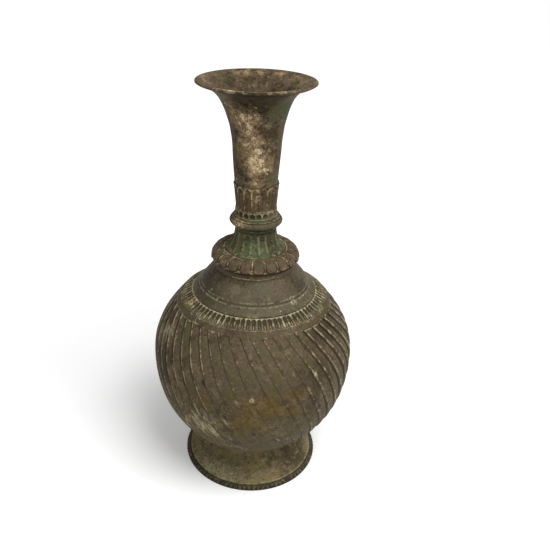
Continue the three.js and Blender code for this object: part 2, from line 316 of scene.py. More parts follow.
def ramp(value, low, high, outLow=0.0, outHigh=1.0):
    # smooth rise of a value from one limit to the other
    return joined("ShaderNodeMapRange", {"interpolation_type": "SMOOTHSTEP"}, {
        "Value": value, "From Min": low, "From Max": high, "To Min": outLow, "To Max": outHigh}, "Result")


def blended(factor, a, b):
    return joined("ShaderNodeMix", {"data_type": "RGBA"}, {0: factor, 6: a, 7: b}, 2)


def cloud(vector, scale, detail, rough, distortion=0.0):
    return joined("ShaderNodeTexNoise", {}, {"Vector": vector, "Scale": scale, "Detail": detail,
                                             "Roughness": rough, "Distortion": distortion}, "Fac")


def moved(vector, step):
    return joined("ShaderNodeMapping", {}, {"Vector": vector, "Location": step}, "Vector")


# Shared finishes, as node groups

otherSockets = {"Vector": "NodeSocketVector"}
otherSockets.update(dict.fromkeys(("Color", "Dark", "Middle", "Light", "Olive"), "NodeSocketColor"))


def newGroup(name, inputs, outputs):
    # a socket is a plain number unless its label is among otherSockets
    group = bpy.data.node_groups.new(name, "ShaderNodeTree")
    for label, value in inputs.items():
        socket = group.interface.new_socket(
            label, in_out="INPUT", socket_type=otherSockets.get(label, "NodeSocketFloat"))
        if value is not None:
            socket.default_value = value
    for label in outputs:
        group.interface.new_socket(
            label, in_out="OUTPUT", socket_type=otherSockets.get(label, "NodeSocketFloat"))
    return group, group.nodes.new("NodeGroupInput").outputs, group.nodes.new("NodeGroupOutput").inputs


def weatherGroup():
    # the noises that every finish shares, from broad clouds to fine grain
    group, start, end = newGroup("weather", {"Vector": None, "Scale": 34.0},
                                 ("Broad", "Patchy", "Fine", "Grain", "Other"))
    here, scale = start["Vector"], start["Scale"]
    there = moved(here, (0.31, 0.17, 0.53))
    plug(end["Broad"], cloud(here, scale, 4, 0.6, 0.5))
    plug(end["Patchy"], cloud(here, times(scale, 4.2), 5, 0.65, 0.9))
    plug(end["Fine"], cloud(there, times(scale, 11.0), 4, 0.65, 0.3))
    plug(end["Grain"], cloud(here, times(scale, 24.0), 2, 0.5))
    plug(end["Other"], cloud(there, times(scale, 2.3), 5, 0.62, 0.6))
    return group


def toneGroup():
    # mottled bronze: clouds of dark, middle and light brown with olive drifts
    group, start, end = newGroup("bronze tone", {
        "Broad": 0.5, "Patchy": 0.5, "Fine": 0.5, "Grain": 0.5, "Other": 0.5,
        "Dark": None, "Middle": None, "Light": None, "Olive": None, "Grit": 0.2,
    }, ("Color", "Tone"))
    tone = total((start["Broad"], 0.3), (start["Patchy"], 0.4), (start["Fine"], 0.3))
    color = blended(ramp(tone, 0.4, 0.49), start["Dark"], start["Middle"])
    color = blended(ramp(tone, 0.5, 0.59), color, start["Light"])
    drift = total((start["Other"], 0.8), (start["Fine"], 0.2))
    color = blended(ramp(drift, 0.49, 0.58, 0.0, 0.8), color, start["Olive"])
    swing = times(ramp(start["Grain"], 0.3, 0.7, -1.0, 1.0), start["Grit"])
    shade = joined("ShaderNodeVectorMath", {"operation": "SCALE"},
                   {0: color, "Scale": plus(1.0, swing)}, "Vector")
    plug(end["Color"], shade)
    plug(end["Tone"], tone)
    return group


def stainGroup():
    # breaks the painted stains of a piece up into ragged drifts
    group, start, end = newGroup("ragged stains", {
        "Stain": 0.0, "Patchy": 0.5, "Fine": 0.5, "Softness": 0.65}, ("Mask",))
    field = total((start["Stain"], 1), (centred(start["Patchy"]), 2.0), (centred(start["Fine"]), 2.2))
    field = times(field, ramp(start["Stain"], 0.0, 0.25))
    plug(end["Mask"], ramp(field, 0.15, plus(start["Softness"], 0.15)))
    return group


def carvedGroup():
    # reads the carving kept on the mesh: dirt and painted shade in the recesses, rubbed metal and painted
    # highlights on raised edges
    group, start, end = newGroup("dirt and wear", {
        "Recess": 0.0, "Edge": 0.0, "Patchy": 0.5, "Fine": 0.5}, ("DirtAndShade", "WearAndHighlight"))
    swing = total((centred(start["Patchy"]), 0.55), (centred(start["Fine"]), 0.45))
    dirtAndShade = total((start["Recess"], 1), (swing, 1.1))
    plug(end["DirtAndShade"], ramp(dirtAndShade, 0.25, 0.75))
    wearAndHighlight = total((start["Edge"], 1), (swing, 4.0))
    plug(end["WearAndHighlight"], times(ramp(wearAndHighlight, 0.4, 0.95), ramp(start["Edge"], 0.05, 0.3)))
    return group


def crustGroup():
    # pale mineral crust: a thin tan film, cream flecks that crowd where it is thick, and holes in it
    group, start, end = newGroup("mineral crust", {
        "Vector": None, "Amount": 0.2, "Patchy": 0.5, "Fine": 0.5, "Scale": 400.0,
    }, ("Film", "Flecks", "Holes", "Veins"))
    amount = start["Amount"]
    film = total((amount, 1), (centred(start["Patchy"]), 1.6), (centred(start["Fine"]), 0.9))
    plug(end["Film"], times(ramp(film, 0.05, 0.75), ramp(amount, 0.0, 0.2)))
    fleck = total((cloud(start["Vector"], start["Scale"], 4, 0.8, 0.7), 0.75), (start["Patchy"], 0.25))
    limit = ramp(amount, 0.0, 1.0, 0.66, 0.43)
    plug(end["Flecks"], ramp(fleck, limit, plus(limit, 0.1)))
    hole = cloud(moved(start["Vector"], (0.9, 0.4, 0.2)), times(start["Scale"], 1.2), 4, 0.7, 0.9)
    plug(end["Holes"], times(ramp(hole, 0.53, 0.6), ramp(amount, 0.1, 0.5)))
    middle = maths("ABSOLUTE", maths("SUBTRACT", start["Fine"], 0.47))
    plug(end["Veins"], times(ramp(middle, 0.002, 0.02, 1.0, 0.0), ramp(amount, 0.08, 0.35)))
    return group


def speckGroup():
    # scattered chips and pits of uneven shape
    group, start, end = newGroup("specks", {
        "Vector": None, "Scale": 300.0, "Amount": 0.1, "Size": 0.2}, ("Mask",))
    bent = node(group, "ShaderNodeTexNoise", Vector=start["Vector"], Scale=620.0, Detail=3.0)
    jog = joined("ShaderNodeVectorMath", {"operation": "MULTIPLY_ADD"}, {
        0: bent.outputs["Color"], 1: (0.003, 0.003, 0.003), 2: start["Vector"]}, "Vector")
    cells = node(group, "ShaderNodeTexVoronoi", Vector=jog, Scale=start["Scale"])
    chance = node(group, "ShaderNodeSeparateColor", Color=cells.outputs["Color"]).outputs
    chosen = maths("LESS_THAN", chance["Red"], start["Amount"])
    size = times(start["Size"], plus(0.25, chance["Green"]))
    dot = ramp(cells.outputs["Distance"], times(size, 0.3), size, 1.0, 0.0)
    dot = times(dot, plus(0.35, times(chance["Blue"], 0.65)))
    plug(end["Mask"], times(dot, chosen))
    return group


finishes = {
    "weather": weatherGroup(),
    "tone": toneGroup(),
    "stain": stainGroup(),
    "carved": carvedGroup(),
    "crust": crustGroup(),
    "specks": speckGroup(),
}
print("bottle: shared finishes made")


def placed(tree, finish, **values):
    return node(tree, "ShaderNodeGroup", {"node_tree": finishes[finish]}, **values).outputs


def emptyTree(owner):
    owner.use_nodes = True
    owner.node_tree.nodes.clear()
    return owner.node_tree


# The bronze of every piece; a piece's own finish changes some of these. Colours are given as
# they look on screen.
commonFinish = {
    "dark": (56, 45, 31),
    "middle": (84, 72, 52),
    "light": (110, 97, 72),
    "olive": (84, 78, 52),
    "greenStain": (60, 68, 42),
    "ochreStain": (104, 84, 34),
    "darkStainAndShade": (40, 32, 22),
    "weatherScale": 34.0,  # higher is finer
    # the dirt colour is dirt in hollows and also paints shade under the lip, under the petal ends and
    # round the knop
    "dirtAndShade": (36, 29, 18),
    # the wear colour is rubbed metal and also paints highlights on the collar ring, the knop and the lip
    "wearAndHighlight": (150, 137, 104),
    "dirtAndShadeAmount": 0.9,
    "wearAndHighlightAmount": 0.6,
    "film": (126, 108, 78),
    "flecks": (182, 163, 124),
    "crustAmount": 0.1,
    "crustStreaks": False,  # whether crust and specks follow the flow of a twisted piece
    "grit": 0.26,
    "chips": 0.05,
    "pits": 0.16,
    "specks": {"chips": (0.3, 260.0, 0.32), "pits": (0.6, 340.0, 0.4)},  # more on crust, scale, size
    "roughness": (0.5, 0.7),  # of the dark and of the light tones
    "metallic": 0.12,
    "gloss": 0.12,
    "bumpDistance": 0.0012,
}


def bronzeMaterial(name, changes):
    look = {**commonFinish, **changes}
    shades = {key: linear(*value) for key, value in look.items()
              if isinstance(value, tuple) and len(value) == 3}
    material = bpy.data.materials.new(name)
    tree = emptyTree(material)

    def attribute(label):
        return node(tree, "ShaderNodeAttribute", {"attribute_name": label}).outputs

    place = node(tree, "ShaderNodeTexCoord").outputs["Object"]
    edge = attribute("edge")["Fac"]
    painted = attribute("stains")
    kinds = node(tree, "ShaderNodeSeparateColor", Color=painted["Color"]).outputs
    crusted = kinds["Red"]
    weather = placed(tree, "weather", Vector=place, Scale=look["weatherScale"])
    patchy, fine = weather["Patchy"], weather["Fine"]
    base = placed(tree, "tone", Broad=weather["Broad"], Patchy=patchy, Fine=fine, Grain=weather["Grain"],
                  Other=weather["Other"], Dark=shades["dark"], Middle=shades["middle"],
                  Light=shades["light"], Olive=shades["olive"], Grit=look["grit"])
    color = base["Color"]
    # the dark stain channel is dark patina and, in places, painted shade
    for mask, share, shade in ((kinds["Green"], 0.75, "greenStain"), (kinds["Blue"], 0.85, "ochreStain"),
                               (painted["Alpha"], 0.9, "darkStainAndShade")):
        broken = placed(tree, "stain", Stain=mask, Patchy=weather["Other"], Fine=fine)["Mask"]
        toned = blended(0.3, shades[shade], base["Color"])
        color = blended(times(broken, share), color, toned)
    carved = placed(tree, "carved", Recess=attribute("recess")["Fac"], Edge=edge, Patchy=patchy, Fine=fine)
    # crust clings to raised lines more than to open metal
    cling = plus(0.8, times(edge, 0.7))
    amount = plus(times(crusted, cling), look["crustAmount"])
    along = attribute("flow")["Vector"] if look["crustStreaks"] else place
    crust = placed(tree, "crust", Vector=along, Amount=amount, Patchy=patchy, Fine=fine)
    chips, pits = (placed(tree, "specks", Vector=along, Scale=scale, Size=size,
                          Amount=plus(times(crusted, more), look[kind]))["Mask"]
                   for kind, (more, scale, size) in look["specks"].items())
    # the dirt layer paints dirt and painted shade in recesses; the wear layer paints rubbed metal and
    # painted highlights
    for mask, share, shade in (
            (crust["Film"], 0.75, "film"), (carved["DirtAndShade"], look["dirtAndShadeAmount"], "dirtAndShade"),
            (carved["WearAndHighlight"], look["wearAndHighlightAmount"], "wearAndHighlight"), (crust["Flecks"], 0.8, "flecks"),
            (crust["Holes"], 0.7, "dark"), (crust["Veins"], 0.5, "dirtAndShade"), (chips, 0.75, "flecks"),
            (pits, 0.7, "dirtAndShade")):
        color = blended(times(mask, share), color, shades[shade])
    rough = ramp(base["Tone"], 0.38, 0.62, *look["roughness"])
    rough = maths("ADD", rough, times(crust["Film"], 0.2), clamp=True)
    covered = maths("MAXIMUM", crust["Film"], carved["DirtAndShade"])
    metal = times(maths("SUBTRACT", 1.0, covered, clamp=True), look["metallic"])
    height = total((patchy, 0.3), (fine, 0.5), (crust["Film"], 0.2), (crust["Flecks"], 0.4),
                   (crust["Holes"], -0.5), (crust["Veins"], -0.3), (pits, -0.7), (chips, 0.4))
    relief = node(tree, "ShaderNodeBump", Strength=0.6, Distance=look["bumpDistance"], Height=height)
    shader = node(tree, "ShaderNodeBsdfPrincipled", Base_Color=color, Roughness=rough, Metallic=metal,
                  Specular_IOR_Level=look["gloss"], Normal=relief.outputs["Normal"])
    node(tree, "ShaderNodeOutputMaterial", Surface=shader.outputs["BSDF"])
    return material


# The foot: a notched rim under a spreading skirt

rimLook = {
    "node": "foot_rim",
    "slot": "foot_rim_bronze",
    "bronze": "notched rim bronze",
    "repeats": 90,  # notches
    "columns": 8,
    "phase": 0,
    "spacing": 0.3,
    "topSpacing": 1.1,
    "notchDepth": 0.9,
    "bore": 43.5,  # radius of the hole in the rim
    "finish": dict(
        dark=(52, 46, 37), middle=(70, 63, 50), light=(90, 83, 64), olive=(66, 64, 46),
        wearAndHighlight=(106, 100, 76), dirtAndShade=(30, 25, 20)),
}


def footRim():
    look = rimLook
    wall = evened([(51.4, 0), (51.55, 0.5), (51.5, 1.2), (51.1, 1.75), (50.3, 2.15), (49.0, rimTop)],
                  look["spacing"])
    outer = wall + evened([(49.0, rimTop), (look["bore"], rimTop)], look["topSpacing"])[1:]
    inner = [(look["bore"], 0), (45.8, 0), (48.6, 0)]
    lengths = pathLengths(outer)

    def carving(angle, row, column):
        along = lengths[row]
        place = repeatAt(angle, look)[1]
        notch = smooth(0.42, 0.9, 1 - abs(place - 0.5) * 2)
        band = between(0.1, 0.9, 2.6, 3.6, along)
        tooth = (1 - notch) * between(1.2, 2.2, 3.0, 4.2, along)
        under = smooth(1.4, 0.4, along)
        return -look["notchDepth"] * notch * band, max(notch * band * 0.7, under * 0.5), tooth * 0.6

    turnedPiece(look, outer, inner, carving)


skirtLook = {
    "node": "foot_skirt",
    "slot": "foot_bronze",
    "bronze": "foot bronze",
    "repeats": 38,  # engraved points
    "columns": 15,
    "phase": 2,
    "cutDepth": 0.25,
    "spacing": 0.4,
    "pointLine": 39.3,  # radius of the engraved row of points
    "pointRise": 1.25,
    "rings": [(46.6, 0.2, 0.5), (35.6, 0.22, 0.5)],  # radius, half width, depth share
    # painted light: the base, film and fleck colours are much lighter than the body's bronze to lift the
    # foot out of the shade under the body
    "finish": dict(
        dark=(106, 91, 66), middle=(136, 120, 88), light=(158, 142, 108), olive=(128, 119, 80),
        wearAndHighlight=(158, 152, 118), wearAndHighlightAmount=0.75, greenStain=(98, 102, 74), ochreStain=(122, 108, 58),
        film=(152, 140, 105), flecks=(178, 170, 134), crustAmount=0.04, grit=0.18),
    "stains": {
        # painted light: the crust stains at -32 and -50 degrees lighten the left; painted shade: the dark
        # stain at 58 degrees darkens the right
        "crust": [(-32, 6, 34, 3, 0.7), (-50, 4.2, 30, 1.8, 0.9), (14, 5.6, 5, 0.9, 0.5)],
        "green": [(26, 9, 10, 3, 0.3), (-28, 6, 16, 2, 0.45)],
        "ochre": [(6, 8.5, 14, 3, 0.5)],
        "dark": [(-45, 10.5, 26, 2.5, 0.2), (58, 6, 30, 5, 1)],
    },
}


def footSkirt():
    look = skirtLook
    sweep = curve((48.1, 3.5), (36.3, 6.3), (28.2, 8.8), (24.5, stemTop), 60)
    lip = evened([(48.1, rimTop), sweep[0]], 0.3)
    outer = lip + evened(sweep, look["spacing"])[1:]
    under = [(r - 0.6, h - 2.4) for r, h in reversed(sweep[4:-8:7])]
    inner = [(20.0, stemTop), (20.2, 12.4)] + [(r, h) for r, h in under if h > 3.1] + [(45.7, rimTop)]

    def carving(angle, row, column):
        if row < len(lip) - 1:
            return 0, 0, 0
        radius = outer[row][0]
        ring = max(share * bump(r, w, radius) for r, w, share in look["rings"])
        place = repeatAt(angle, look)[1]
        zig = look["pointLine"] + look["pointRise"] * (abs(place - 0.5) * 4 - 1)
        cut = bump(zig, 0.3, radius)
        pale = max(bump(zig + 0.8, 0.5, radius), bump(zig - 0.8, 0.4, radius) * 0.5) * 0.9
        rim = bump(47.6, 0.6, radius) * 0.9
        return -look["cutDepth"] * max(ring, cut), max(ring, cut) * 0.8, max(pale, rim)

    turnedPiece(look, outer, inner, carving)


# The fluted body

bodyLook = {
    "node": "fluted_body",
    "slot": "body_bronze",
    "bronze": "fluted bronze",
    "repeats": 46,  # flutes
    "columns": 10,  # one for each knot of the section
    "phase": -4.0,
    "seed": 7,
    "uneven": {"jog": (-0.5, 0.5), "depth": (0.8, 1.12), "top": (-0.5, 0.9)},
    "lineDepth": 0.2,
    "spacing": 0.4,
    "coarseSpacing": 1.4,
    "fineFrom": 133,
    "fade": 12.0,  # length over which the flutes fade out at the stem
    "fullRadius": 58,  # the flutes are cut to their full depth outside this radius
    "wall": 3.1,
    "depth": 1.7,
    "lean": 26,  # degrees that a flute leans from the upright
    "border": 4.4,  # plain width above the flutes
    # how low the surface lies across one flute, from the groove at its left
    "section": [(0.0, -1.0), (0.045, -0.5), (0.1, -0.08), (0.15, 0.0), (0.3, -0.03), (0.46, -0.1),
                (0.62, -0.22), (0.76, -0.4), (0.87, -0.62), (0.95, -0.84)],
    # angle, height, half widths and share rubbed away
    "worn": [(4, 74, 40, 52, 0.76), (4, 124, 36, 22, 0.35), (-150, 70, 24, 20, 0.5)],
    "finish": dict(
        dark=(67, 57, 42), middle=(81, 70, 53), light=(94, 82, 63), olive=(78, 72, 50),
        ochreStain=(94, 74, 22), greenStain=(64, 66, 42), metallic=0.04, gloss=0.06, film=(112, 99, 76),
        flecks=(174, 161, 131), wearAndHighlight=(160, 148, 119), wearAndHighlightAmount=0.75, crustAmount=0.02,
        crustStreaks=True, grit=0.16, pits=0.15, chips=0.05),
    "stains": {
        "crust": [(0, 88, 46, 16, 0.3), (2, 127, 34, 12, 0.12), (8, 62, 40, 12, 0.2),
            (-20, 78, 14, 8, 0.25), (30, 92, 10, 14, 0.2), (-70, 120, 12, 10, 0.8), (-68, 100, 7, 8, 0.4),
            (-46, 94, 7, 18, 0.5), (-60, 130, 10, 8, 0.35), (-36, 74, 9, 12, 0.6), (-23, 66, 8, 8, 0.85),
            (-44, 60, 12, 10, 0.7), (-12, 52, 9, 6, 0.6), (-5, 46, 8, 5, 0.5), (-26, 78, 6, 6, 0.6),
            (18, 68, 5, 5, 0.3), (24, 60, 5, 6, 0.35), (37, 113, 1.2, 2.6, 1.2), (50, 114, 4, 12, 0.6),
            (66, 120, 8, 12, 0.5), (0, 126, 1.8, 1.5, 1), (0.5, 102, 1.6, 2.2, 1.1), (22, 131, 3, 3, 0.5),
            (-12.5, 82, 1.5, 2, 1.1), (12, 78, 5, 2, 0.5), (44, 84, 5, 12, 0.5), (76, 104, 8, 20, 0.5),
            (3, 68, 3, 4, 0.5), (42, 100, 4, 8, 0.4), (150, 70, 20, 16, 0.5), (215, 120, 14, 14, 0.45)],
        "green": [(-22, 86, 7, 7, 0.5), (-62, 84, 8, 12, 0.5), (-56, 138, 12, 4, 0.8),
            (10, 132, 8, 4, 0.15), (58, 124, 12, 10, 0.6), (62, 92, 10, 14, 0.5), (-8, 58, 8, 5, 0.7),
            (25, 73, 6, 8, 0.4), (-2, 110, 30, 8, 0.3), (2, 86, 30, 14, 0.3), (-33, 68, 6, 10, 0.5),
            (-44, 128, 10, 8, 0.3), (120, 90, 25, 25, 0.5), (235, 66, 18, 18, 0.5)],
        "ochre": [(4, 99, 5, 5, 0.9), (14, 94, 6, 5, 0.9), (23, 91, 6, 5, 0.8), (26, 103, 6, 4, 0.8),
            (38, 100, 5, 6, 0.5), (-4, 90, 12, 14, 0.35), (2, 80, 9, 10, 0.45), (-25, 96, 5, 5, 0.6),
            (-8, 76, 16, 12, 0.35), (10, 100, 22, 10, 0.3), (190, 100, 22, 18, 0.5)],
        # painted shade: the dark stains on the left flank, from -57 to -80 degrees, and the wide one at 24
        # high round the stem paint shade there
        "dark": [(-62, 94, 7, 8, 0.7), (-72, 98, 18, 40, 0.7), (-57, 106, 5, 16, 0.35),
            (36, 88, 5, 14, 0.5), (44, 112, 10, 10, 0.3), (0, 24, 60, 6, 0.5), (20, 98, 8, 8, 0.25),
            (-20, 92, 10, 10, 0.3), (-80, 130, 12, 10, 0.4), (58, 132, 20, 8, 0.8), (32, 108, 16, 16, 0.3),
            (-76, 96, 10, 14, 0.5), (170, 56, 25, 12, 0.4)],
    },
}


def flutedBody():
    look = bodyLook
    lower = curve((24.5, stemTop), (46.5, 34.0), (72.4, 50.0), (72.4, 96.5), 120)
    upper = curve((72.4, 96.5), (72.4, 115.8), (64.8, 127.4), (51.8, bodyTop), 90)
    whole = lower + upper[1:]
    coarse = evened(whole, look["coarseSpacing"])
    fine = evened(whole, look["spacing"])
    outer = [spot for spot in coarse if spot[1] < look["fineFrom"]]
    outer += [spot for spot in fine if spot[1] >= look["fineFrom"]]
    inner = [(r - look["wall"], h + 0.4) for r, h in evened(whole, 9)[2:-1]]
    inner = [(46.2, bodyTop)] + list(reversed(inner)) + [(22.0, 18.2), (0.05, 18.2), (0.05, stemTop)]
    lengths = pathLengths(outer)
    knots = look["section"]
    perFlute = look["columns"]
    width = 360 / look["repeats"]
    turns = [0.0] * len(outer)
    for row in range(len(outer) - 2, -1, -1):
        step = lengths[row + 1] - lengths[row]
        radius = (outer[row][0] + outer[row + 1][0]) / 2
        turns[row] = turns[row + 1] + math.degrees(math.tan(math.radians(look["lean"])) * step / radius)
    cuts = handCuts(look)

    def angleOf(column, row):
        flute, knot = divmod(column, perFlute)
        following = (flute + 1) % look["repeats"]
        place = knots[knot][0]
        jog = mix(cuts[flute][0], cuts[following][0], place)
        straight = (flute + place) * width + jog + look["phase"]
        return straight + turns[row], straight

    def carving(angle, row, column):
        flute, knot = divmod(column, perFlute)
        place, shape = knots[knot]
        radius, height = outer[row]
        left = lengths[-1] - lengths[row]
        start = look["border"] + cuts[flute][2]
        fade = smooth(start, start + 1.1, left) * smooth(0.0, look["fade"], lengths[row])
        strength = fade * min(1.0, radius / look["fullRadius"]) * cuts[flute][1]
        kept = 1.0
        for wornAngle, wornHeight, angleWidth, heightWidth, share in look["worn"]:
            gap = fromFront(angle - wornAngle)
            kept *= 1 - share * bump(0, angleWidth, gap) * bump(wornHeight, heightWidth, height)
        line = bump(1.0, 0.3, left)
        # painted shade: on the left flank the falling side of each flute is darkened through the recess
        # value
        flank = facing(-78, 42, angle)
        topEdge = bump(start - 0.1, 0.4, left) * (0.35 + 0.65 * smooth(0.95, 0.6, place))
        topEdge *= smooth(0.0, 0.1, place)
        shown = smooth(0.25, 0.8, kept)
        clean = 1 - 0.8 * facing(4, 42, angle)
        recess = max(fade * shown * clean * max(0.0, -shape) ** 2.0, line * 0.6 * clean)
        recess = max(recess, flank * fade * shown * smooth(0.55, 0.9, place) * 0.75)
        crest = bump(0.13 + 0.08 * flank, 0.05 + 0.1 * flank, place) * fade
        crest *= (0.15 + 0.85 * shown) * (0.5 + 0.5 * clean)
        edge = max(crest, topEdge * (0.35 + 0.55 * clean), bump(0.3, 0.35, left) * (0.2 + 0.5 * clean))
        return look["depth"] * strength * kept * shape - look["lineDepth"] * line, recess, edge

    turnedPiece(look, outer, inner, carving, angleOf, sharp=60)


# The band of tongues round the shoulder

bandLook = {
    "node": "tongue_band",
    "slot": "band_bronze",
    "bronze": "tongue band bronze",
    "repeats": 82,  # tongues
    "columns": 12,
    "phase": -1.8,
    "seed": 3,
    "uneven": {"lean": (-0.09, 0.09), "depth": (0.75, 1.1), "pale": (0.35, 1.0)},
    "lineDepth": 0.2,
    "spacing": 0.26,
    "depth": 0.85,
    "finish": dict(
        dark=(78, 67, 49), middle=(96, 86, 65), light=(112, 102, 79), olive=(90, 88, 64),
        greenStain=(84, 92, 62), wearAndHighlight=(164, 155, 124), wearAndHighlightAmount=0.85, dirtAndShade=(50, 43, 27),
        crustAmount=0.1),
    "stains": {
        "crust": [(-66, 145, 7, 4, 0.8), (-14, 146.4, 3, 1, 0.8), (13, 143.5, 4, 1.4, 0.6),
            (38, 143.6, 5, 1.5, 0.6), (30, 142.4, 8, 0.8, 0.6), (66, 142.6, 12, 0.8, 0.5),
            (160, 145, 20, 4, 0.4), (215, 144, 10, 4, 0.5)],
        "green": [(-56, 145, 16, 4, 0.7), (38, 146, 10, 3, 0.6), (62, 145, 14, 4, 0.6),
            (110, 145, 18, 4, 0.6)],
    },
}


def tongueBand():
    look = bandLook
    outer = evened([(51.3, bodyTop), (51.0, 142.6), (50.3, 143.1), (48.6, 144.05), (46.0, 145.55),
                    (44.4, 146.5), (43.6, bandTop)], look["spacing"])
    inner = [(43.3, 146.8), (43.3, 145.2), (48.6, 142.2), (48.6, bodyTop)]
    lengths = pathLengths(outer)
    cuts = handCuts(look)

    def carving(angle, row, column):
        t = 1 - lengths[row] / lengths[-1]  # 0 at the upper edge, 1 at the lower
        tongue, place = repeatAt(angle, look)
        lean, depth, pale = cuts[tongue]
        across = abs(place - 0.5 - lean * 0.6) * 2
        # a long tongue with an arched top; a short rib stands in its lower half
        top = smooth(0.04, 0.2, t)
        halfWidth = 0.74 * math.sqrt(max(0.0, top)) - 0.12 * smooth(0.3, 0.55, t)
        inside = smooth(halfWidth + 0.15, halfWidth - 0.12, across) * smooth(0.92, 0.84, t)
        rib = smooth(0.3, 0.1, across) * between(0.5, 0.62, 0.86, 0.93, t)
        hollow = inside * (1 - 0.75 * rib) * mix(1.0, 0.72, smooth(0.4, 0.6, t))
        line = bump(0.95, 0.022, t)
        spandrel = (1 - inside) * smooth(0.3, 0.08, t)
        post = (1 - inside) * between(0.04, 0.12, 0.86, 0.93, t)
        edge = max(post * pale * 0.75, spandrel * 0.85, rib * 0.45, bump(1.0, 0.03, t) * 0.9)
        return -look["depth"] * hollow * depth - look["lineDepth"] * line, max(hollow, line * 0.8), edge

    turnedPiece(look, outer, inner, carving)


# The shoulder, with turned lines and a faint engraved scroll

shoulderLook = {
    "node": "shoulder",
    "slot": "shoulder_bronze",
    "bronze": "shoulder bronze",
    "repeats": 12,  # scrolls
    "columns": 40,
    "phase": 4,
    "lineDepth": 0.2,
    "scrollDepth": 0.1,
    "scrollZone": (28.8, 36.6),  # radii between which the scroll runs
    "spacing": 0.34,
    # radius, half width and share of the depth or paleness
    "lines": [(38.1, 0.26, 0.8), (41.2, 0.25, 0.3), (42.7, 0.3, 0.5)],
    "paleLines": [(38.85, 0.3, 0.8), (37.3, 0.28, 0.8), (43.2, 0.3, 0.5)],
    "scrollRadius": 32.8,
    "wave": 1.9,  # how far the stem swings to each side of the scroll's radius
    "leafAside": 4.3,
    "leafBelow": 1.2,
    "leafRadius": 2.6,
    "curlPitch": 2.2,
    "finish": dict(
        dark=(69, 59, 45), middle=(84, 74, 58), light=(99, 88, 69), olive=(79, 75, 55),
        greenStain=(46, 52, 32), wearAndHighlight=(130, 131, 102), wearAndHighlightAmount=0.6, weatherScale=42.0,
        crustAmount=0.0, film=(126, 116, 92), flecks=(186, 176, 146), grit=0.14, pits=0.06),
    "stains": {
        "crust": [(43, 151.6, 4, 1.6, 1.3), (42, 154, 2.5, 1.8, 1.1), (62, 151.8, 14, 0.9, 0.7),
            (63, 148.6, 7, 0.8, 0.6), (-56, 152.6, 14, 1, 0.55), (10, 157, 14, 4, 0.2),
            (210, 152, 10, 3, 0.6)],
        "green": [(-56, 150, 16, 6, 1.3), (-66, 158, 16, 7, 1.1), (-35, 155, 14, 5, 0.35),
            (70, 155, 14, 8, 0.35), (170, 155, 20, 6, 0.6)],
        "ochre": [(42, 149, 10, 3, 0.3)],
        "dark": [(-75, 156, 16, 8, 0.6), (-66, 158, 18, 7, 0.8), (-30, 164, 30, 2.5, 0.4),
            (45, 164, 20, 2.5, 0.35), (62, 156, 20, 8, 0.45)],
    },
}


def scrollDistance(angle, radius):
    # a running vine: one wave of stem with a leaf curl in each bend
    look = shoulderLook
    turn = repeatAt(angle, look)[1]
    sideways = (turn - 0.5) * math.tau * look["scrollRadius"] / look["repeats"]
    nearest = abs(radius - look["scrollRadius"] - look["wave"] * math.sin(turn * math.tau)) * 0.85
    for side in (-1, 1):
        dx = sideways - side * look["leafAside"]
        dy = radius - look["scrollRadius"] + side * look["leafBelow"]
        reach = math.hypot(dx, dy)
        curl = (reach - (math.atan2(dy * side, dx) % math.tau) * 0.36) % look["curlPitch"]
        if reach < look["leafRadius"]:
            nearest = min(nearest, curl, look["curlPitch"] - curl)
    return nearest


def shoulderDome():
    look = shoulderLook
    dome = flowing([(43.1, bandTop), (43.3, 147.5), (42.8, 148.3), (38.9, 151.85), (35.5, 157.0),
                    (30.0, 163.5), (27.6, domeTop)], 14)
    outer = evened([(43.0, 145.2), (43.1, bandTop)], 0.5) + evened(dome, look["spacing"])[1:]
    inner = [(23.4, domeTop), (26.8, 163.0), (32.2, 156.6), (36.4, 150.9), (39.4, 146.2), (46.2, 142.2),
             (46.2, bodyTop), (48.2, bodyTop)]
    near, far = look["scrollZone"]

    def carving(angle, row, column):
        radius, height = outer[row]
        if height < bandTop:
            return 0, 0.8, 0
        line = max(share * bump(r, w, radius) for r, w, share in look["lines"])
        pale = max(share * bump(r, w, radius) for r, w, share in look["paleLines"])
        scroll = 0.0
        if near < radius < far:
            scroll = bump(0, 0.26, scrollDistance(angle, radius))
            scroll *= between(near, near + 1.0, far - 0.8, far, radius)
        shift = -look["lineDepth"] * line - look["scrollDepth"] * scroll
        return shift, max(line * 0.75, scroll * 0.42), pale

    turnedPiece(look, outer, inner, carving)


# The collar: a thin ring, a cushion of petals and a ridged cone

ringLook = {
    "node": "collar_ring",
    "slot": "ring_bronze",
    "bronze": "collar ring bronze",
    "columns": 200,
    "spacing": 0.2,
    # painted highlight: the pale wear colour at full amount paints a highlight on the ring's rounded bead
    "finish": dict(
        dark=(76, 62, 46), middle=(94, 79, 58), light=(112, 96, 72), wearAndHighlight=(214, 194, 158),
        wearAndHighlightAmount=1.0),
}


def collarRing():
    look = ringLook
    outer = evened([(23.4, domeTop), (27.75, domeTop), (27.5, 166.3), (27.4, 166.7), (27.6, 166.9),
                    (27.75, 167.2), (27.5, 167.55), (27.1, ringTop), (23.4, ringTop)], look["spacing"])

    def carving(angle, row, column):
        radius, height = outer[row]
        # painted highlight on the bead; painted shade under the bead and on its top under the cushion,
        # through the recess value
        rim = bump(167.15, 0.45, height) * smooth(26.9, 27.3, radius) * 1.4
        under = bump(166.65, 0.2, height) * smooth(27.0, 27.3, radius)
        return 0, max(smooth(27.1, 26.4, radius) * smooth(167, 167.5, height) * 0.9, under * 0.8), rim

    turnedPiece(look, outer, [], carving)


